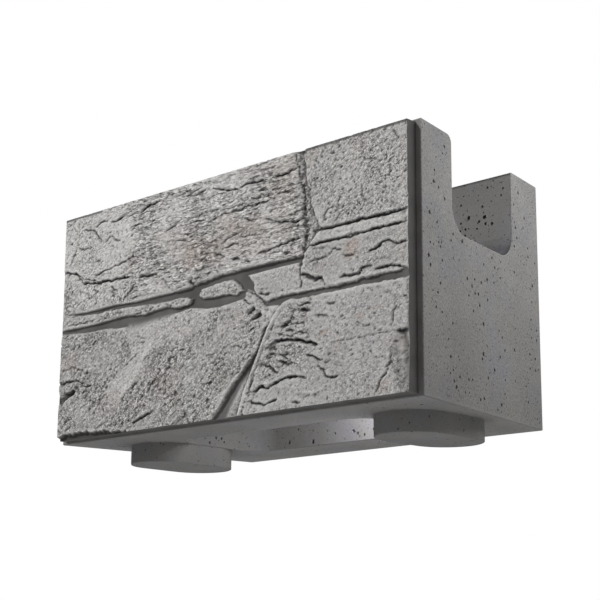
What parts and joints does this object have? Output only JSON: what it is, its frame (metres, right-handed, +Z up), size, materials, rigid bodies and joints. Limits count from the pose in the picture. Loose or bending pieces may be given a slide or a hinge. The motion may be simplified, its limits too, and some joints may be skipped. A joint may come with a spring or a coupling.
{
  "type": "concrete retaining-wall block",
  "caption": "Hollow-core concrete retaining-wall block with a stone-patterned face, a trough over its webs and rounded locating lugs underneath.",
  "frame": {"origin": "on the floor under the lugs, in the middle of the block's box", "axes": "+X along the stone-patterned face, +Y from the face to the back, +Z up"},
  "size_m": [1.219, 0.623, 0.66],
  "materials": {
    "concrete": "as-cast concrete with small air holes, rough stone pattern on the face"
  },
  "bodies": {
    "root": {"block": "concrete"}
  },
  "joints": []
}
